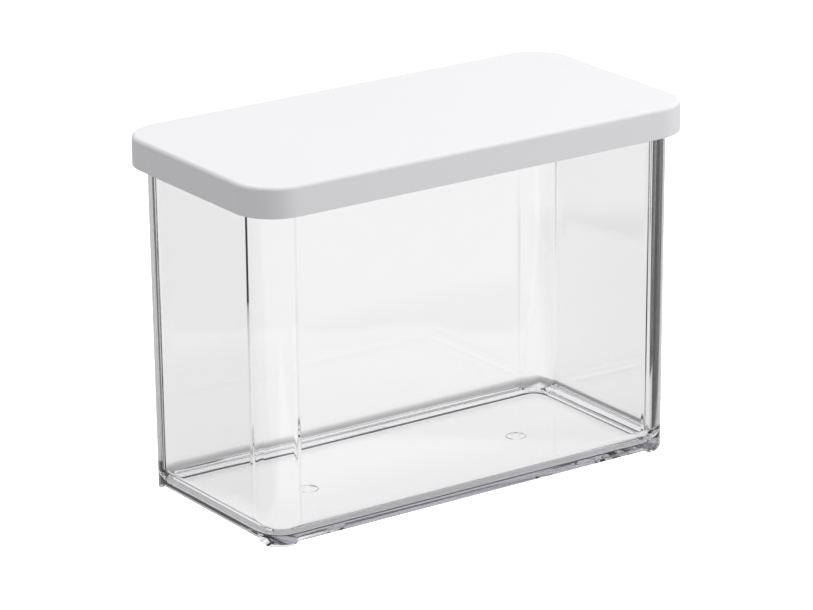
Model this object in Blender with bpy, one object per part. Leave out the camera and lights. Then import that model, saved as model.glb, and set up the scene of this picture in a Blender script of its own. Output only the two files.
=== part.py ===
"""Clear storage box with a white lift-off lid and a soft seal ring.

Metres, +Z up. The origin is on the table under the middle of the closed box.
+X runs along the box and its long front wall faces -Y.
"""
import math

import bmesh
import bpy
from mathutils import Matrix

# Closed box on its table
overall_length = 0.200
overall_width = 0.100
overall_height = 0.142
corner_radius = 0.0165

# Space between two touching pieces, and how far a cutter runs past what it cuts
fit_gap = 0.0003
overrun = 0.002

# Lid: one moulding with a flat top, an outer skirt and an inner plug wall
lid_top = 0.002
lid_edge_radius = 0.0015
skirt_height = 0.012
skirt_wall = 0.002
skirt_edge = 0.0003
plug_height = 0.009
plug_wall = 0.0024
plug_clearance = 0.0025
groove_depth = 0.0012
groove_height = 0.0044
groove_drop = 0.0028

# Seal ring in the plug's groove, with two thin lips
ring_wall = 0.0018
lip_count = 2
lip_tip = 0.0003
lip_slope = 0.0003

# Container: clear moulding with a rim flange that the skirt hides
skirt_overhang = 0.0055
skirt_clearance = 0.0005
wall = 0.0022
draft_degrees = 0.3
flange_height = 0.0025
floor_top = 0.0025
floor_radius = 0.0072

# Underside: corner feet, and the gap under the walls between them
foot_height = 0.0026
foot_edge_radius = 0.001
foot_width = 0.0045
foot_flare = 0.0025
end_foot_degrees = 25
floor_underside = 0.0004
gap_depth = 0.0024
gate_radius = 0.0036
gate_depth = 0.0005
gate_spacing = 0.100

# How finely the round stretches are drawn
corner_segments = 10
edge_segments = 3
floor_segments = 6
gate_segments = 24

# Heights worked out from the sizes above
lid_underside = overall_height - lid_top
skirt_low = overall_height - skirt_height
plug_low = lid_underside - plug_height
rim_top = lid_underside - fit_gap
flange_low = rim_top - flange_height
groove_top = lid_underside - groove_drop
groove_low = groove_top - groove_height
lean = math.tan(math.radians(draft_degrees))

# The walls' corners run round the same centres as the lid's, and the floor's fillet
# is never larger than the corner it runs round
wall_corner = corner_radius - skirt_overhang
inner_corner = wall_corner - wall - lean * rim_top
fillet_share = 0.9
inner_fillet = min(floor_radius, fillet_share * inner_corner)


def half_sizes(inset):
    """Half the length and half the width of the lid's outline, moved inwards by inset."""
    return overall_length / 2 - inset, overall_width / 2 - inset


def wall_inset(height):
    """How far the container's outer wall stands inside the lid's outline at a height."""
    return skirt_overhang + lean * (rim_top - height)


def clear_scene():
    for thing in list(bpy.data.objects):
        bpy.data.objects.remove(thing, do_unlink=True)


def new_collection(name):
    group = bpy.data.collections.new(name)
    bpy.context.scene.collection.children.link(group)
    return group


def box(low, high):
    """A plain block between two corners."""
    bm = bmesh.new()
    bmesh.ops.create_cube(bm, size=1)
    size = [b - a for a, b in zip(low, high)]
    middle = [(a + b) / 2 for a, b in zip(low, high)]
    bmesh.ops.scale(bm, vec=size, verts=bm.verts)
    bmesh.ops.translate(bm, vec=middle, verts=bm.verts)
    return bm


def rounded_block(inset, radius, low, high):
    """A block with upright round corners, inside the lid's outline by inset."""
    half_length, half_width = half_sizes(inset)
    bm = box((-half_length, -half_width, low), (half_length, half_width, high))
    uprights = [e for e in bm.edges if abs(e.verts[0].co.z - e.verts[1].co.z) > (high - low) / 2]
    bmesh.ops.bevel(bm, geom=uprights, offset=radius, offset_type="OFFSET", profile=0.5,
                    segments=corner_segments, affect="EDGES", material=-1)
    return bm


def end_face(bm, top):
    """The flat outermost face at the top or the bottom of a block."""
    pick = max if top else min
    return pick(bm.faces, key=lambda f: f.calc_center_median().z)


def walk(bm, face, steps):
    """Carry a face along a profile: each step moves it inwards and along its own normal."""
    for inward, along in steps:
        bmesh.ops.inset_region(bm, faces=[face], thickness=inward, depth=along, use_even_offset=True)


def quarter_turn(radius, segments):
    """Steps that turn a wall into a flat face over a quarter circle."""
    angles = [math.pi / 2 * k / segments for k in range(segments + 1)]
    pairs = zip(angles, angles[1:])
    return [(radius * (math.cos(a) - math.cos(b)), radius * (math.sin(b) - math.sin(a))) for a, b in pairs]


def plastic(name, colour, roughness, transmission=0.0, ior=1.5):
    material = bpy.data.materials.new(name)
    material.use_nodes = True
    shader = material.node_tree.nodes["Principled BSDF"]
    shader.inputs["Base Color"].default_value = (*colour, 1.0)
    shader.inputs["Metallic"].default_value = 0.0
    shader.inputs["Roughness"].default_value = roughness
    shader.inputs["Transmission Weight"].default_value = transmission
    shader.inputs["IOR"].default_value = ior
    material.diffuse_color = (*colour, 1.0)
    return material


def add_object(name, bm, group, parent=None):
    """Turn a bmesh in world coordinates into an object whose origin is its parent's."""
    if parent:
        bmesh.ops.translate(bm, vec=-parent.location, verts=bm.verts)
    mesh = bpy.data.meshes.new(name)
    bm.to_mesh(mesh)
    bm.free()
    mesh.shade_smooth()
    mesh.set_sharp_from_angle(angle=math.radians(30))
    thing = bpy.data.objects.new(name, mesh)
    group.objects.link(thing)
    thing.parent = parent
    return thing


def cut(part, name, bm):
    """Cut a closed shape out of a part, and keep the shape as a hidden cutter."""
    cutter = add_object(name, bm, cutters)
    cutter.hide_render = True
    cutter.display_type = "WIRE"
    boolean = part.modifiers.new(name, "BOOLEAN")
    boolean.operation = "DIFFERENCE"
    boolean.solver = "EXACT"
    boolean.object = cutter


def make_container():
    """Walls, floor and rim in one skin, with the underside cut afterwards."""
    bm = rounded_block(wall_inset(0), wall_corner, foot_edge_radius, flange_low)
    top = end_face(bm, top=True)
    bottom = end_face(bm, top=False)
    spread = lean * (flange_low - foot_edge_radius)
    for v in top.verts:
        v.co.x += math.copysign(spread, v.co.x)
        v.co.y += math.copysign(spread, v.co.y)
    walk(bm, bottom, quarter_turn(foot_edge_radius, edge_segments))

    flange_reach = wall_inset(flange_low) - skirt_wall - skirt_clearance
    inner_depth = rim_top - floor_top - inner_fillet
    walk(bm, top, [(-flange_reach, 0), (0, flange_height)])
    walk(bm, top, [(flange_reach + wall, 0), (lean * inner_depth, -inner_depth)])
    walk(bm, top, [(inward, -along) for inward, along in quarter_turn(inner_fillet, floor_segments)])
    container = add_object("container", bm, parts)
    container.data.materials.append(plastic("clear_plastic", (0.93, 0.93, 0.95), 0.04, 1.0, 1.57))
    cut_underside(container)
    return container


def cut_underside(container):
    """Leave four corner feet: the floor stands clear of the table, the walls end higher between them."""
    half_length, half_width = half_sizes(wall_inset(0))
    long_end = half_length - wall_corner
    short_end = half_width - wall_corner + wall_corner * math.sin(math.radians(end_foot_degrees))
    sides = [
        ("front_gap", long_end, half_width, 0),
        ("right_gap", short_end, half_length, 90),
        ("back_gap", long_end, half_width, 180),
        ("left_gap", short_end, half_length, 270),
    ]
    for name, end, reach, degrees in sides:
        bm = box((-end, -reach - overrun, -overrun), (end, gap_depth - reach, foot_height))
        for v in bm.verts:
            if v.co.z > 0:
                v.co.x -= math.copysign(foot_flare, v.co.x)
        bmesh.ops.rotate(bm, matrix=Matrix.Rotation(math.radians(degrees), 3, "Z"), verts=bm.verts)
        cut(container, name, bm)

    inside_feet = rounded_block(wall_inset(0) + foot_width, wall_corner - foot_width, -overrun, floor_underside)
    cut(container, "floor_gap", inside_feet)
    across = half_width + overrun
    along = half_length + overrun
    end = long_end - foot_flare
    cut(container, "cross_gap", box((-end, -across, -overrun), (end, across, floor_underside)))
    end = short_end - foot_flare
    cut(container, "length_gap", box((-along, -end, -overrun), (along, end, floor_underside)))

    for name, side in (("left_gate", -1), ("right_gate", 1)):
        bm = bmesh.new()
        bmesh.ops.create_cone(bm, cap_ends=True, segments=gate_segments, radius1=gate_radius,
                              radius2=gate_radius, depth=overrun + gate_depth)
        middle = floor_underside + (gate_depth - overrun) / 2
        bmesh.ops.translate(bm, vec=(side * gate_spacing / 2, 0, middle), verts=bm.verts)
        cut(container, name, bm)


def make_lid(carrier):
    """One skin: over the top, down the skirt, up to the underside and round the plug wall."""
    bm = rounded_block(0, corner_radius, skirt_low + skirt_edge, overall_height - lid_edge_radius)
    top = end_face(bm, top=True)
    under = end_face(bm, top=False)
    walk(bm, top, quarter_turn(lid_edge_radius, edge_segments))

    to_plug = plug_inset - skirt_wall
    below_groove = groove_low - plug_low
    walk(bm, under, [(skirt_edge, skirt_edge), (skirt_wall - skirt_edge, 0)])
    walk(bm, under, [(0, skirt_low - lid_underside), (to_plug, 0), (0, groove_drop)])
    walk(bm, under, [(groove_depth, 0), (0, groove_height), (-groove_depth, 0)])
    walk(bm, under, [(0, below_groove), (plug_wall, 0), (0, -plug_height)])
    lid = add_object("lid", bm, parts, carrier)
    lid.data.materials.append(plastic("white_plastic", (0.86, 0.86, 0.87), 0.35))
    return lid


def make_seal_ring(carrier):
    """A ring with lips, in the groove of the plug wall."""
    ring_outer = plug_inset + groove_depth - fit_gap - ring_wall
    lip_reach = ring_outer - wall_inset(plug_low) - wall - fit_gap
    ring_height = groove_height - 2 * fit_gap
    lip_height = 2 * lip_slope + lip_tip
    space = (ring_height - lip_count * lip_height) / (lip_count + 1)

    low = groove_low + fit_gap
    bm = rounded_block(ring_outer, corner_radius - ring_outer, low, low + space)
    top = end_face(bm, top=True)
    bottom = end_face(bm, top=False)
    for _ in range(lip_count):
        walk(bm, top, [(-lip_reach, lip_slope), (0, lip_tip), (lip_reach, lip_slope), (0, space)])
    walk(bm, top, [(ring_wall, 0)])
    walk(bm, bottom, [(ring_wall, 0)])
    rims = list(top.edges) + list(bottom.edges)
    bmesh.ops.delete(bm, geom=[top, bottom], context="FACES_ONLY")
    bmesh.ops.bridge_loops(bm, edges=rims)
    seal = add_object("seal_ring", bm, parts, carrier)
    seal.data.materials.append(plastic("translucent_rubber", (0.80, 0.80, 0.80), 0.45, 0.3, 1.41))
    return seal


clear_scene()
parts = new_collection("storage_box")
cutters = new_collection("cutters")

# The plug wall's inset follows the container's inner wall at the plug's lower end
plug_inset = wall_inset(plug_low) + wall + plug_clearance

make_container()

# The lid lifts straight up, carried by this empty on the lift axis
lift_axis = bpy.data.objects.new("lid_lift_axis", None)
lift_axis.location = (0, 0, rim_top)
parts.objects.link(lift_axis)
bpy.context.view_layer.update()
make_lid(lift_axis)
make_seal_ring(lift_axis)
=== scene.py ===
"""Clear storage box with a white lift-off lid, in a plain pale studio."""
import math

import bmesh
import bpy
from mathutils import Matrix, Vector


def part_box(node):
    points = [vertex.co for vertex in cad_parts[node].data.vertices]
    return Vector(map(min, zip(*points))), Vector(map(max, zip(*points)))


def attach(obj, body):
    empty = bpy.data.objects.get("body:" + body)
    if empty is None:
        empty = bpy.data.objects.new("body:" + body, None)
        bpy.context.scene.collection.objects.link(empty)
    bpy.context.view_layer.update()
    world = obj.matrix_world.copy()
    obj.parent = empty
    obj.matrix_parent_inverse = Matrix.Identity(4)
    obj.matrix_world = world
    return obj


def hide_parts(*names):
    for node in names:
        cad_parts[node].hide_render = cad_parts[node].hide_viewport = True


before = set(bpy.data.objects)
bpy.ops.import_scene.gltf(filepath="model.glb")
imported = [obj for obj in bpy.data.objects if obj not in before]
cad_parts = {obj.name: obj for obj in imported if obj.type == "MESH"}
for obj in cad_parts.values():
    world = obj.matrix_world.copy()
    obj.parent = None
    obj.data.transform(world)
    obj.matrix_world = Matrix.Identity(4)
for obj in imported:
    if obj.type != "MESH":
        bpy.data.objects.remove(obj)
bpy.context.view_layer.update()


# Container
# One injection moulding in clear styrene plastic: four walls with a slight draft, a floor with a
# large inner radius, a rim flange that the lid covers, and four low feet under the corners.

# A face is level where its normal's z is past the first, points nearer than the second are the
# same, and an edge that turns by more than the third is sharp
level = 0.9
touching = 0.00001
sharp_degrees = 40


def around(half_length, half_width, radius, low, high, arc, cuts=()):
    """A block with round upright corners, cut across at some places, with its top and bottom."""
    bm = bmesh.new()
    bmesh.ops.create_cube(bm, size=1)
    bmesh.ops.scale(bm, vec=(2 * half_length, 2 * half_width, high - low), verts=bm.verts)
    bmesh.ops.translate(bm, vec=(0, 0, (high + low) / 2), verts=bm.verts)
    uprights = [e for e in bm.edges
                if abs(e.verts[0].co.z - e.verts[1].co.z) > (high - low) / 2]
    bmesh.ops.bevel(bm, geom=uprights, offset=radius, offset_type="OFFSET", affect="EDGES",
                    segments=arc, profile=0.5, material=-1)

    for axis, place in cuts:
        for side in (-1, 1):
            where = Vector((0, 0, 0))
            where[axis] = side * place
            facing = Vector((0, 0, 0))
            facing[axis] = 1
            everything = bm.verts[:] + bm.edges[:] + bm.faces[:]
            bmesh.ops.bisect_plane(bm, geom=everything, dist=1e-7, plane_co=where, plane_no=facing)
    bm.normal_update()
    top = [f for f in bm.faces if f.normal.z > level]
    bottom = [f for f in bm.faces if f.normal.z < -level]
    return bm, top, bottom


def walk(bm, faces, steps):
    """Carry an end of a block along a moulding's section, in steps of (inwards, outwards)."""
    for inward, along in steps:
        bmesh.ops.inset_region(bm, faces=faces, thickness=inward, depth=along,
                               use_even_offset=True)


def bend(radius, start, end, segments, along=1):
    """Steps round part of a circle: 0 is a wall going out, 90 a face going in, 180 a wall back."""
    angles = [math.radians(start + (end - start) * k / segments) for k in range(segments + 1)]
    return [(radius * (math.cos(a) - math.cos(b)), along * radius * (math.sin(b) - math.sin(a)))
            for a, b in zip(angles, angles[1:])]


def add_piece(name, bm, material, body):
    """A finished piece, smooth but for its real edges, that stands for its CAD node."""
    bmesh.ops.recalc_face_normals(bm, faces=bm.faces)
    mesh = bpy.data.meshes.new(name)
    bm.to_mesh(mesh)
    bm.free()
    mesh.shade_smooth()
    mesh.set_sharp_from_angle(angle=math.radians(sharp_degrees))
    mesh.materials.append(material)
    piece = bpy.data.objects.new(name + "_moulding", mesh)
    bpy.context.scene.collection.objects.link(piece)
    flats = piece.modifiers.new("flat_faces_stay_flat", "WEIGHTED_NORMAL")
    flats.keep_sharp = True
    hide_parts(name)
    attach(piece, body)
    return piece


def linear(code):
    """An sRGB hex colour as the linear RGBA that shaders take."""
    parts = [int(code[k:k + 2], 16) / 255 for k in (1, 3, 5)]
    return (*[c / 12.92 if c <= 0.04045 else ((c + 0.055) / 1.055) ** 2.4 for c in parts], 1)


def add_node(tree, kind, settings=(), links=()):
    """A shader node with its settings, by attribute or socket name, and its inputs' links."""
    node = tree.nodes.new(kind)
    for key, value in dict(settings).items():
        if isinstance(key, str) and hasattr(node, key):
            setattr(node, key, value)
        else:
            node.inputs[key].default_value = value
    for socket, source in dict(links).items():
        tree.links.new(source, node.inputs[socket])
    return node


def new_material(name):
    """A material with an empty node tree, and the tree."""
    material = bpy.data.materials.new(name)
    material.use_nodes = True
    material.node_tree.nodes.clear()
    return material, material.node_tree


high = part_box("container")[1]
lid_low, lid_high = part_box("lid")

# Walls and rim, in metres as everything here is
skirt_overhang = 0.0055
mouth_length = lid_high.x - skirt_overhang
mouth_width = lid_high.y - skirt_overhang
rim_top = high.z
rim_edge = 0.0004
rim_arc = 4
flange_height = 0.0025
flange_reach = 0.003
wall = 0.0022
draft_degrees = 0.3
draft_middle = 0.02
lean = math.tan(math.radians(draft_degrees))
corner = 0.011
corner_arc = 24
inner_corner = 0.010

# Floor, and the gap under it and under the walls between the feet
floor_top = 0.0025
floor_radius = 0.0074
floor_arc = 18
floor_underside = 0.0004
under_edge = 0.0003
under_arc = 3
gap_depth = 0.0024
end_gap_depth = 0.0045

# Feet: their ends flare out in a few steps, and their outer edge is rounded
foot_height = 0.0026
foot_flare = 0.0025
foot_round = 0.0008
foot_arc = 4
flare_steps = 6

# The flat walls end at the corners' arcs, and so do the feet on the long sides. On the short
# sides the feet end this far round the arc
end_foot_degrees = 25
long_end = mouth_length - corner
short_end = mouth_width - corner
short_foot_end = short_end + corner * math.sin(math.radians(end_foot_degrees))

# Grooves inside the walls, and the gate marks with their nubs
groove_peak = foot_flare / 3
groove_sunk = 0.0003
gate_place = 0.050
gate_radius = 0.0042
gate_slope = 0.0002
gate_depth = 0.0007
gate_arc = 32
nub_radius = 0.0018
nub_slope = 0.0001
nub_height = 0.0002

flare_cuts = [(0, long_end - foot_flare * k / flare_steps) for k in range(1, flare_steps + 1)]
groove_cuts = [(1, short_end - groove_peak), (1, short_end - foot_flare)]
gate_cuts = [(0, gate_place - 2 * gate_radius), (0, gate_place + 2 * gate_radius),
             (1, 2 * gate_radius)]
bm, top, bottom = around(mouth_length, mouth_width, corner, foot_height, rim_top - flange_height,
                         corner_arc, cuts=flare_cuts + groove_cuts + gate_cuts)

# Out over the flange and across the rim
walk(bm, top, [(-flange_reach, 0), (0, flange_height - rim_edge)])
walk(bm, top, bend(rim_edge, 0, 90, rim_arc))
walk(bm, top, [(flange_reach + wall - 2 * rim_edge, 0)])

# Inside, the corners are rounder than the wall alone would make them
rounder = inner_corner - (corner - wall)
for v in {v for f in top for v in f.verts}:
    out = Vector((abs(v.co.x) - long_end, abs(v.co.y) - short_end))
    if min(out) > -foot_flare - touching:
        out = Vector((max(out.x, 0), max(out.y, 0))).normalized()
        v.co.x -= math.copysign(rounder * (1 - out.x), v.co.x)
        v.co.y -= math.copysign(rounder * (1 - out.y), v.co.y)

# Down the inside and round the floor's fillet
walk(bm, top, bend(rim_edge, 90, 180, rim_arc))
walk(bm, top, [(0, rim_edge + floor_top + floor_radius - rim_top)])
walk(bm, top, bend(floor_radius, 0, 90, floor_arc, along=-1))

# In under the walls and down to the floor's underside. The gap under the short walls is deeper
walk(bm, bottom, [(gap_depth, 0)])
for v in {v for f in bottom for v in f.verts}:
    if abs(v.co.x) > long_end:
        share = min(1, (mouth_width - gap_depth - abs(v.co.y)) / (corner - gap_depth))
        v.co.x -= math.copysign(share * (end_gap_depth - gap_depth), v.co.x)
walk(bm, bottom, [(0, foot_height - floor_underside - under_edge)])
walk(bm, bottom, bend(under_edge, 0, 90, under_arc))

# The feet come down from the ledge under the walls, with flared ends
ledge = {v for v in bm.verts if abs(v.co.z - foot_height) < touching}
outer_edge = [e for e in bm.edges if ledge.issuperset(e.verts)
              and any(f.calc_center_median().z > 2 * foot_height for f in e.link_faces)]
for v in ledge:
    along_long = (abs(v.co.x) - long_end + foot_flare) / foot_flare
    along_short = (abs(v.co.y) - short_foot_end + foot_flare) / foot_flare
    share = max(0, min(1, along_long, along_short))
    v.co.z -= foot_height * (1 - math.cos(share * math.pi / 2))
bmesh.ops.bevel(bm, geom=outer_edge, offset=foot_round, offset_type="OFFSET", affect="EDGES",
                segments=foot_arc, profile=0.5, material=-1)

# A fine groove runs down the inside where each wall's flat face meets its corner
groove_ends = (rim_top - rim_edge, floor_top + floor_radius)
inner_walls = ((0, mouth_length - wall, short_end - rounder),
               (1, mouth_width - wall, long_end - rounder))
for v in bm.verts:
    if min(abs(v.co.z - z) for z in groove_ends) > touching:
        continue
    for axis, inner, start in inner_walls:
        past = start - abs(v.co[1 - axis])
        if abs(abs(v.co[axis]) - inner) < touching and 0 < past < foot_flare:
            share = min(past / groove_peak, (foot_flare - past) / (foot_flare - groove_peak))
            v.co[axis] += math.copysign(groove_sunk * share, v.co[axis])

# Two shallow gate marks under the floor, each with a low nub in its middle
for side in (-1, 1):
    middle = Vector((side * gate_place, 0, floor_underside))
    field = [f for f in bm.faces if f.normal.z < -level
             and (f.calc_center_median() - middle).length < touching]
    field_edges = list(field[0].edges)
    bmesh.ops.delete(bm, geom=field, context="FACES_ONLY")
    ring = bmesh.ops.create_circle(bm, cap_ends=True, segments=gate_arc, radius=gate_radius,
                                   matrix=Matrix.Translation(middle))["verts"]
    mark = ring[0].link_faces[0]
    bmesh.ops.triangle_fill(bm, use_beauty=True, edges=field_edges + list(mark.edges),
                            normal=(0, 0, -1))
    if mark.normal.z > 0:
        mark.normal_flip()
    bm.normal_update()
    walk(bm, [mark], [(gate_slope, -gate_depth), (gate_radius - nub_radius - gate_slope, 0)])
    walk(bm, [mark], [(nub_slope, nub_height)])

# The draft: every wall leans in towards the floor, and what is near the middle moves less
for v in bm.verts:
    slide = lean * (rim_top - v.co.z)
    v.co.x -= slide * max(-1, min(1, v.co.x / draft_middle))
    v.co.y -= slide * max(-1, min(1, v.co.y / draft_middle))

# Clear styrene plastic, injection moulded in a polished tool: it takes sharp reflections, with
# faint patches of handling that dull them a little, and darkens where light runs along inside it
clear, tree = new_material("clear_styrene_polished")
scuff_mm = 16.667
place = add_node(tree, "ShaderNodeTexCoord")
scuffs = add_node(tree, "ShaderNodeTexNoise",
                  {"Scale": 1000.0 / scuff_mm, "Detail": 6.0, "Roughness": 0.6},
                  {"Vector": place.outputs["Object"]})
rough = add_node(tree, "ShaderNodeMapRange",
                 {"From Min": 0.35, "From Max": 0.8, "To Min": 0.0, "To Max": 0.03},
                 {"Value": scuffs.outputs["Fac"]})
glass = add_node(tree, "ShaderNodeBsdfPrincipled",
                 {"Base Color": linear("#FFFFFF"), "IOR": 1.55, "Transmission Weight": 1.0},
                 {"Roughness": rough.outputs["Result"]})
depth = add_node(tree, "ShaderNodeVolumeAbsorption",
                 {"Color": linear("#C3C2CC"), "Density": 19.8})

# The lamps' light, and light between dull surfaces, goes straight through a wall
through = add_node(tree, "ShaderNodeBsdfTransparent", {"Color": linear("#FCFCFC")})
path = add_node(tree, "ShaderNodeLightPath")
lamp_light = add_node(tree, "ShaderNodeMath", {"operation": "MAXIMUM"},
                      {0: path.outputs["Is Shadow Ray"], 1: path.outputs["Is Diffuse Ray"]})
both = add_node(tree, "ShaderNodeMixShader", (),
                {0: lamp_light.outputs[0], 1: glass.outputs[0], 2: through.outputs[0]})
add_node(tree, "ShaderNodeOutputMaterial", (),
         {"Surface": both.outputs[0], "Volume": depth.outputs[0]})

container = add_piece("container", bm, clear, "container")

# The grooves' upright edges are sharp, so that each shows as a fine line
for e in container.data.edges:
    a, b = [container.data.vertices[k].co for k in e.vertices]
    before_corner = min(abs(a.x) - long_end, abs(a.y) - short_end) < -rounder
    if before_corner and abs(a.z - b.z) > rim_top / 2:
        e.use_edge_sharp = True


# Lid
# One white moulding: a flat plate with a small edge radius, a straight skirt that hangs outside
# the container's rim, and a plug wall inside it with a groove for the seal.

lid_corner = 0.0165
lid_arc = 28
plate = 0.002
plate_edge = 0.0015
plate_arc = 8
skirt_wall = 0.002
skirt_foot = 0.0003
skirt_arc = 3
root = 0.0006
root_arc = 4
plug_height = 0.009
plug_wall = 0.0024
plug_gap = 0.0025
groove_drop = 0.0028
groove_height = 0.0044
groove_depth = 0.0012
underside = lid_high.z - plate
plug_low = underside - plug_height
plug_inset = skirt_overhang + lean * (rim_top - plug_low) + wall + plug_gap

bm, top, bottom = around(lid_high.x, lid_high.y, lid_corner, lid_low.z + skirt_foot,
                         lid_high.z - plate_edge, lid_arc)
walk(bm, top, bend(plate_edge, 0, 90, plate_arc))

# Round the skirt's foot and up to the plate
walk(bm, bottom, bend(skirt_foot, 0, 90, skirt_arc))
walk(bm, bottom, [(skirt_wall - 2 * skirt_foot, 0)])
walk(bm, bottom, bend(skirt_foot, 90, 180, skirt_arc))
walk(bm, bottom, [(0, skirt_foot + root + lid_low.z - underside)])
walk(bm, bottom, bend(root, 0, 90, root_arc, along=-1))
walk(bm, bottom, [(plug_inset - skirt_wall - root, 0)])

# Down the plug wall and its groove, round its foot and up inside it
walk(bm, bottom, [(0, groove_drop), (groove_depth, 0), (0, groove_height), (-groove_depth, 0)])
walk(bm, bottom, [(0, plug_height - groove_drop - groove_height - skirt_foot)])
walk(bm, bottom, bend(skirt_foot, 0, 90, skirt_arc))
walk(bm, bottom, [(plug_wall - 2 * skirt_foot, 0)])
walk(bm, bottom, bend(skirt_foot, 90, 180, skirt_arc))
walk(bm, bottom, [(0, skirt_foot + root - plug_height)])
walk(bm, bottom, bend(root, 0, 90, root_arc, along=-1))

# White polypropylene, moulded with a very fine satin texture that softens its reflections, and
# very slightly uneven in tone and gloss over a hand's width
white, tree = new_material("white_polypropylene_satin")
grain_mm = 0.35
cloud_mm = 71.429
place = add_node(tree, "ShaderNodeTexCoord")
grain = add_node(tree, "ShaderNodeTexNoise", {"Scale": 1000.0 / grain_mm, "Detail": 3.0},
                 {"Vector": place.outputs["Object"]})
clouds = add_node(tree, "ShaderNodeTexNoise", {"Scale": 1000.0 / cloud_mm, "Detail": 2.0},
                  {"Vector": place.outputs["Object"]})
tone = add_node(tree, "ShaderNodeMix", {"data_type": "RGBA"}, {0: clouds.outputs["Fac"]})
tone.inputs["A"].default_value = linear("#ECECEF")
tone.inputs["B"].default_value = linear("#F0F0F2")
rough = add_node(tree, "ShaderNodeMapRange", {"To Min": 0.36, "To Max": 0.46},
                 {"Value": clouds.outputs["Fac"]})
bump = add_node(tree, "ShaderNodeBump", {"Strength": 0.05, "Distance": 0.00005},
                {"Height": grain.outputs["Fac"]})
satin = add_node(tree, "ShaderNodeBsdfPrincipled", {"IOR": 1.49},
                 {"Base Color": tone.outputs["Result"], "Roughness": rough.outputs["Result"],
                  "Normal": bump.outputs["Normal"]})
add_node(tree, "ShaderNodeOutputMaterial", (), {"Surface": satin.outputs[0]})

add_piece("lid", bm, white, "lid")


# Seal ring
# A soft translucent ring stretched over the plug wall into its groove, with two thin lips that
# grip the container's inner wall.

seal_low, seal_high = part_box("seal_ring")
ring_wall = 0.0018
lips = 2
lip_root = 0.0009
lip_tip = 0.00015
lip_reach = 0.0013
lip_slope = lip_root / 2 - lip_tip
core_inset = lid_high.x - seal_high.x + lip_reach
spacing = (seal_high.z - seal_low.z - lips * lip_root) / (lips + 1)

bm, top, bottom = around(lid_high.x - core_inset, lid_high.y - core_inset,
                         lid_corner - core_inset, seal_low.z, seal_low.z + spacing, corner_arc)
for _ in range(lips):
    walk(bm, top, [(lip_tip - lip_reach, lip_slope), (-lip_tip, lip_tip), (lip_tip, lip_tip)])
    walk(bm, top, [(lip_reach - lip_tip, lip_slope), (0, spacing)])
walk(bm, top, [(ring_wall, 0)])
walk(bm, bottom, [(ring_wall, 0)])

# The block's two ends open into the ring's inner wall
ends = top + bottom
rims = [e for e in bm.edges if sum(f in ends for f in e.link_faces) == 1]
bmesh.ops.delete(bm, geom=ends, context="FACES")
bmesh.ops.bridge_loops(bm, edges=rims)

# Silicone rubber, soft and milky: light goes into it and scatters, and its surface is dull
milky, tree = new_material("silicone_rubber_translucent")
bloom_mm = 8.3333
place = add_node(tree, "ShaderNodeTexCoord")
bloom = add_node(tree, "ShaderNodeTexNoise", {"Scale": 1000.0 / bloom_mm, "Detail": 4.0},
                 {"Vector": place.outputs["Object"]})
tone = add_node(tree, "ShaderNodeMix", {"data_type": "RGBA"}, {0: bloom.outputs["Fac"]})
tone.inputs["A"].default_value = linear("#DCDCDA")
tone.inputs["B"].default_value = linear("#E8E8E6")
rough = add_node(tree, "ShaderNodeMapRange", {"To Min": 0.42, "To Max": 0.6},
                 {"Value": bloom.outputs["Fac"]})
rubber = add_node(tree, "ShaderNodeBsdfPrincipled",
                  {"IOR": 1.41, "Subsurface Weight": 0.4, "Subsurface Scale": 0.002},
                  {"Base Color": tone.outputs["Result"], "Roughness": rough.outputs["Result"]})
add_node(tree, "ShaderNodeOutputMaterial", (), {"Surface": rubber.outputs[0]})

add_piece("seal_ring", bm, milky, "lid")


# Studio
# A pale table that runs on to the horizon, so that it shows white behind and through the walls
# and still takes the box's soft shadow. For light through the plastic it also has painted shade
# and painted dark places.

table_reach = 30
table_drop = 0.0001
bm = bmesh.new()
bmesh.ops.create_grid(bm, x_segments=1, y_segments=1, size=table_reach)
mesh = bpy.data.meshes.new("table")
bm.to_mesh(mesh)
bm.free()
table = bpy.data.objects.new("table", mesh)
table.location.z = -table_drop
bpy.context.scene.collection.objects.link(table)

paper, tree = new_material("white_paper_sweep")
path = add_node(tree, "ShaderNodeLightPath")
spot = add_node(tree, "ShaderNodeTexCoord")
split = add_node(tree, "ShaderNodeSeparateXYZ", (), {0: spot.outputs["Object"]})

# Light that the plastic has turned sees pale paper only between two lines, one past each outer
# corner of the box, and in front of the box. Beyond them the paper is painted nearly black for
# that light, a painted dark room that puts the dark lines in the plastic's edges. Each line is a
# point on it and the way to its paper side
left_edge = ((-high.x - 0.003, high.y, 0), math.radians(75.5) - math.pi / 2)
right_edge = ((high.x, -high.y, 0), math.radians(38) + math.pi / 2)
edge_blur = 0.008
front_start = -0.07
front_end = -0.10
sheet_grey = 0.58
painted_dark_room_grey = 0.04
front_grey = 0.4
sides = []
for place, facing in (left_edge, right_edge):
    inwards = Vector((math.cos(facing), math.sin(facing), 0))
    line = Vector(place).dot(inwards)
    across = add_node(tree, "ShaderNodeVectorMath", {"operation": "DOT_PRODUCT", 1: inwards},
                      {0: spot.outputs["Object"]})
    sides.append(add_node(tree, "ShaderNodeMapRange",
                          {"interpolation_type": "SMOOTHSTEP", "From Min": line - edge_blur,
                           "From Max": line + edge_blur},
                          {"Value": across.outputs["Value"]}))
sheet = add_node(tree, "ShaderNodeMath", {"operation": "MULTIPLY"},
                 {0: sides[0].outputs[0], 1: sides[1].outputs[0]})
front = add_node(tree, "ShaderNodeMapRange",
                 {"interpolation_type": "SMOOTHSTEP", "From Min": front_start,
                  "From Max": front_end},
                 {"Value": split.outputs["Y"]})
turned_grey = add_node(tree, "ShaderNodeMath",
                       {"operation": "MULTIPLY_ADD", 1: sheet_grey, 2: painted_dark_room_grey},
                       {0: sheet.outputs[0]})
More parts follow.
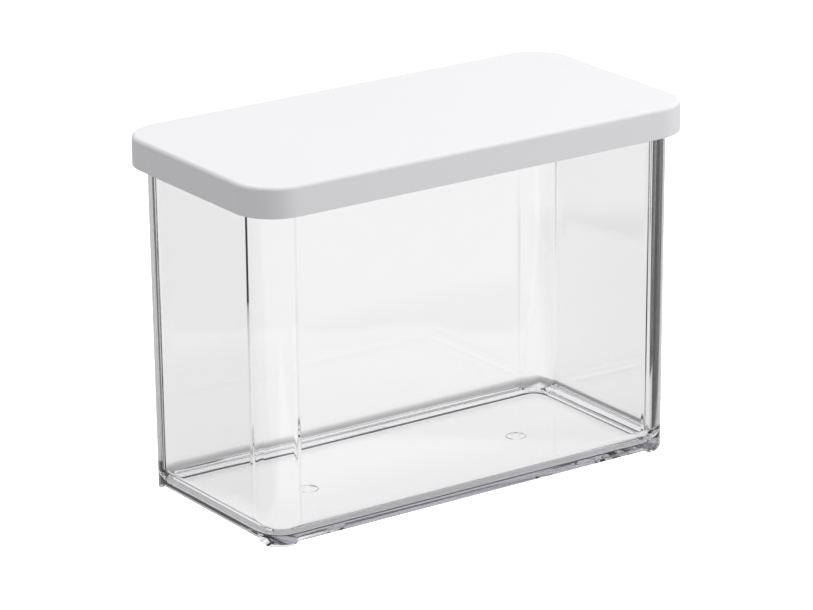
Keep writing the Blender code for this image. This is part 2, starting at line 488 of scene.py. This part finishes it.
turned_grey = add_node(tree, "ShaderNodeMath", {"operation": "MULTIPLY_ADD", 1: front_grey},
                       {0: front.outputs[0], 2: turned_grey.outputs[0]})

# Outside the right line the paper is painted dark in the far corner, a painted shade for light
# straight through the walls
corner_way = add_node(tree, "ShaderNodeVectorMath", {"operation": "DOT_PRODUCT", 1: (1, 1, 0)},
                      {0: spot.outputs["Object"]})
painted_dark_far_corner = add_node(tree, "ShaderNodeMapRange",
                      {"interpolation_type": "SMOOTHSTEP", "From Min": 0.145, "From Max": 0.175},
                      {"Value": corner_way.outputs["Value"]})
outside = add_node(tree, "ShaderNodeMath", {"operation": "SUBTRACT", 0: 1.0},
                   {1: sides[1].outputs[0]})
painted_dark_far_corner = add_node(tree, "ShaderNodeMath", {"operation": "MULTIPLY"},
                      {0: painted_dark_far_corner.outputs[0], 1: outside.outputs[0]})

# A wedge of paper behind the right end wall has a little painted shade, more so further from the
# back corner. Each row is a smooth step: the way it runs, from where to where, and from what to
# what
wedge_way = math.radians(55.4)
across_wedge = wedge_way - math.pi / 2
wedge_side = 0.0525
wedge_steps = ((across_wedge, wedge_side + 0.001, wedge_side + 0.009, 0.0, 1.0),
               (across_wedge, wedge_side, wedge_side + 0.05, 0.07, 0.11),
               (wedge_way, 0.35, 0.30, 0.0, 1.0),
               (math.pi / 2, -0.06, -0.04, 0.0, 1.0),
               (0.0, 0.09, 0.094, 0.0, 1.0))
painted_wedge_shade = []
for way, near, far, low_shade, high_shade in wedge_steps:
    facing = Vector((math.cos(way), math.sin(way), 0))
    across = add_node(tree, "ShaderNodeVectorMath", {"operation": "DOT_PRODUCT", 1: facing},
                      {0: spot.outputs["Object"]})
    painted_wedge_shade.append(add_node(tree, "ShaderNodeMapRange",
                              {"interpolation_type": "SMOOTHSTEP", "From Min": near,
                               "From Max": far, "To Min": low_shade, "To Max": high_shade},
                              {"Value": across.outputs["Value"]}))
while len(painted_wedge_shade) > 1:
    painted_wedge_shade.append(add_node(tree, "ShaderNodeMath", {"operation": "MULTIPLY"},
                              {0: painted_wedge_shade.pop().outputs[0], 1: painted_wedge_shade.pop().outputs[0]}))
# The painted dark far corner and the painted wedge shade, together
painted_dark_places = add_node(tree, "ShaderNodeMath", {"operation": "ADD"},
                       {0: painted_dark_far_corner.outputs[0], 1: painted_wedge_shade[0].outputs[0]})

# The paper has painted shade close round the box, in a narrower strip at its short ends, and is
# bright again under its floor
end_squeeze = 4.0
beyond = add_node(tree, "ShaderNodeVectorMath", {"operation": "ABSOLUTE"},
                  {0: spot.outputs["Object"]})
beyond = add_node(tree, "ShaderNodeVectorMath",
                  {"operation": "SUBTRACT", 1: (high.x, high.y, 0)}, {0: beyond.outputs[0]})
beyond = add_node(tree, "ShaderNodeSeparateXYZ", (), {0: beyond.outputs[0]})
ends = add_node(tree, "ShaderNodeMath", {"operation": "MULTIPLY", 1: end_squeeze},
                {0: beyond.outputs["X"]})
ends = add_node(tree, "ShaderNodeMath", {"operation": "MAXIMUM"},
                {0: ends.outputs[0], 1: beyond.outputs["X"]})
beyond = add_node(tree, "ShaderNodeMath", {"operation": "MAXIMUM"},
                  {0: ends.outputs[0], 1: beyond.outputs["Y"]})
painted_contact_shade = add_node(tree, "ShaderNodeMapRange",
                  {"interpolation_type": "SMOOTHSTEP", "From Min": -0.004, "From Max": 0.008,
                   "To Min": 0.3, "To Max": 1.0},
                  {"Value": beyond.outputs[0]})
under = add_node(tree, "ShaderNodeMapRange",
                 {"interpolation_type": "SMOOTHSTEP", "From Min": -0.006, "From Max": -0.002,
                  "To Min": 0.96, "To Max": 0.0},
                 {"Value": beyond.outputs[0]})
painted_paper_light = add_node(tree, "ShaderNodeMath", {"operation": "MAXIMUM"},
                      {0: painted_contact_shade.outputs[0], 1: under.outputs[0]})
painted_paper_light = add_node(tree, "ShaderNodeMath", {"operation": "SUBTRACT", "use_clamp": True},
                      {0: painted_paper_light.outputs[0], 1: painted_dark_places.outputs[0]})

# Straight through a wall the paper is as white as to the camera, but for its painted shade
turned = add_node(tree, "ShaderNodeMath", {"operation": "MINIMUM", 1: 1.0},
                  {0: path.outputs["Glossy Depth"]})
straight = add_node(tree, "ShaderNodeMath", {"operation": "SUBTRACT"},
                    {0: path.outputs["Is Transmission Ray"], 1: turned.outputs[0]})
straight = add_node(tree, "ShaderNodeMath", {"operation": "MULTIPLY", "use_clamp": True},
                    {0: straight.outputs[0], 1: painted_paper_light.outputs[0]})
seen = add_node(tree, "ShaderNodeMath", {"operation": "ADD"},
                {0: straight.outputs[0], 1: path.outputs["Is Camera Ray"]})
mirrored = add_node(tree, "ShaderNodeMath", {"operation": "SUBTRACT", "use_clamp": True},
                    {0: path.outputs["Is Glossy Ray"], 1: path.outputs["Is Transmission Ray"]})

# It glows where it is seen so, and less where it is mirrored. To other light it is a plain grey
seen_glow = 0.8
mirrored_glow = 0.55
seen_grey = 0.2
bounce_grey = 0.6
lift = add_node(tree, "ShaderNodeMath", {"operation": "MULTIPLY_ADD", 1: seen_glow},
                {0: seen.outputs[0], 2: path.outputs["Is Camera Ray"]})
lift = add_node(tree, "ShaderNodeMath", {"operation": "MULTIPLY_ADD", 1: mirrored_glow},
                {0: mirrored.outputs[0], 2: lift.outputs[0]})
grey = add_node(tree, "ShaderNodeMath", {"operation": "MULTIPLY", 1: bounce_grey},
                {0: path.outputs["Is Diffuse Ray"]})
grey = add_node(tree, "ShaderNodeMath", {"operation": "MULTIPLY_ADD", 1: seen_grey},
                {0: seen.outputs[0], 2: grey.outputs[0]})
grey = add_node(tree, "ShaderNodeMath", {"operation": "MULTIPLY_ADD"},
                {0: turned.outputs[0], 1: turned_grey.outputs[0], 2: grey.outputs[0]})
lit = add_node(tree, "ShaderNodeBsdfDiffuse", (), {"Color": grey.outputs[0]})
glow = add_node(tree, "ShaderNodeEmission", {"Color": linear("#FFFFFF")},
                {"Strength": lift.outputs[0]})
both = add_node(tree, "ShaderNodeAddShader", (), {0: lit.outputs[0], 1: glow.outputs[0]})
add_node(tree, "ShaderNodeOutputMaterial", (), {"Surface": both.outputs[0]})
mesh.materials.append(paper)

# The room: white where the camera looks past the table, plain soft light elsewhere, with darker
# walls round the table and a bright ceiling, which give clear plastic its edges
wall_light = 0.1
ceiling_light = 0.85
mirrored_light = 0.9
world = bpy.data.worlds.new("room")
bpy.context.scene.world = world
world.use_nodes = True
tree = world.node_tree
tree.nodes.clear()
path = add_node(tree, "ShaderNodeLightPath")
way = add_node(tree, "ShaderNodeTexCoord")
split = add_node(tree, "ShaderNodeSeparateXYZ", (), {0: way.outputs["Generated"]})
height = add_node(tree, "ShaderNodeMapRange",
                  {"interpolation_type": "SMOOTHSTEP", "From Min": 0.3, "From Max": 0.75,
                   "To Min": wall_light, "To Max": ceiling_light},
                  {"Value": split.outputs["Z"]})
seen = add_node(tree, "ShaderNodeMath", {"operation": "MULTIPLY_ADD", 1: mirrored_light},
                {0: path.outputs["Is Glossy Ray"], 2: path.outputs["Is Camera Ray"]})
seen = add_node(tree, "ShaderNodeMath", {"operation": "ADD", "use_clamp": True},
                {0: seen.outputs[0], 1: path.outputs["Is Transmission Ray"]})
seen = add_node(tree, "ShaderNodeMath", {"operation": "MAXIMUM"},
                {0: height.outputs[0], 1: seen.outputs[0]})
room = add_node(tree, "ShaderNodeBackground", {"Color": linear("#FFFFFF")},
                {"Strength": seen.outputs[0]})
add_node(tree, "ShaderNodeOutputWorld", (), {"Surface": room.outputs[0]})


def soft_box(name, place, aim, size, power):
    """A square studio lamp that shines at a point, and that gloss and glass don't show."""
    lamp = bpy.data.lights.new(name, "AREA")
    lamp.shape = "SQUARE"
    lamp.size = size
    lamp.energy = power
    holder = bpy.data.objects.new(name, lamp)
    bpy.context.scene.collection.objects.link(holder)
    holder.location = place
    holder.visible_glossy = False
    holder.visible_transmission = False
    holder.rotation_mode = "QUATERNION"
    holder.rotation_quaternion = (Vector(aim) - Vector(place)).to_track_quat("-Z", "Y")


middle = (0, 0, lid_high.z / 2)
soft_box("right_front_lamp", (1.1, -0.9, 0.9), middle, size=0.8, power=10.6)
soft_box("ceiling_lamp", (-0.1, 0.1, 1.6), middle, size=1.0, power=6.4)

# The camera stands at the photograph's viewing angle
azimuth = math.radians(-34.61)
elevation = math.radians(18.69)
roll = math.radians(-0.54)
distance = 1.69942
target = Vector((-0.00197, 0, 0.0665))
frame_width = 813
focal_pixels = 4419.68
camera = bpy.data.cameras.new("camera")
camera.sensor_width = 36
camera.lens = focal_pixels * camera.sensor_width / frame_width
viewer = bpy.data.objects.new("camera", camera)
bpy.context.scene.collection.objects.link(viewer)
back = Vector((math.sin(azimuth) * math.cos(elevation),
               -math.cos(azimuth) * math.cos(elevation), math.sin(elevation)))
viewer.location = target + back * distance
viewer.rotation_mode = "QUATERNION"
level_view = (-back).to_track_quat("-Z", "Y")
viewer.rotation_quaternion = level_view @ Matrix.Rotation(roll, 4, "Z").to_quaternion()
bpy.context.scene.camera = viewer
bpy.context.scene.view_settings.view_transform = "Standard"

# Light that runs along inside the clear walls and floor turns many times before it comes out
bpy.context.scene.cycles.max_bounces = 26
bpy.context.scene.cycles.glossy_bounces = 14
bpy.context.scene.cycles.transmission_bounces = 20
